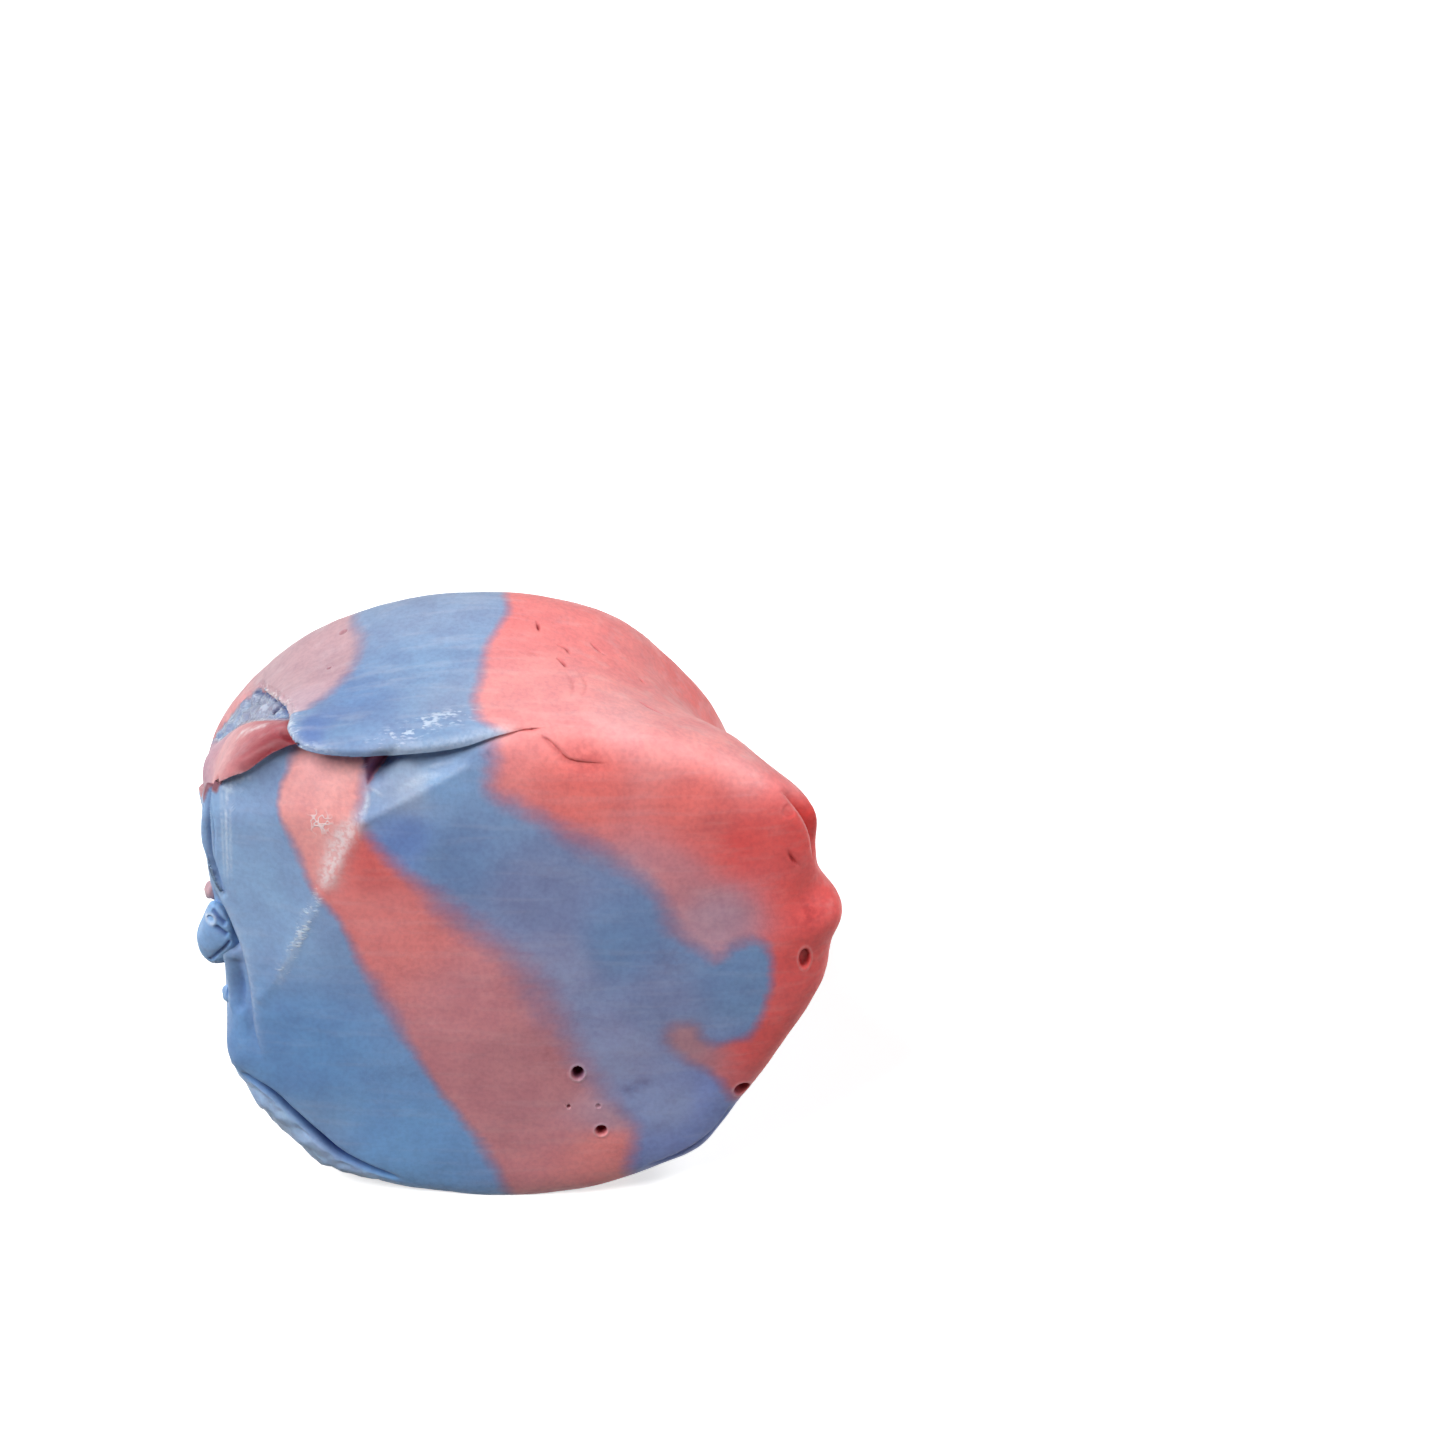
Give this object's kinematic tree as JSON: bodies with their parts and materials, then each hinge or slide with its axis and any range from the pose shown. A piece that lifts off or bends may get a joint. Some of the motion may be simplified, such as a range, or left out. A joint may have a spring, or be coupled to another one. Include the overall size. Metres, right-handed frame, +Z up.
{
  "type": "salt water taffy",
  "caption": "Bite-size piece of marbled pulled taffy cut from a thick rope, with folded lips and a flat cut face.",
  "frame": {"origin": "middle of the footprint, on the surface that the piece rests on", "axes": "+X along the longest side, to the right as the cut face is seen; +Y from the cut face to the far face, along the rope; +Z up"},
  "size_m": [0.0262, 0.016, 0.0221],
  "materials": {
    "marbled_taffy": "satin, marbled light blue and coral pink"
  },
  "bodies": {
    "root": {"taffy": "marbled_taffy"}
  },
  "joints": []
}
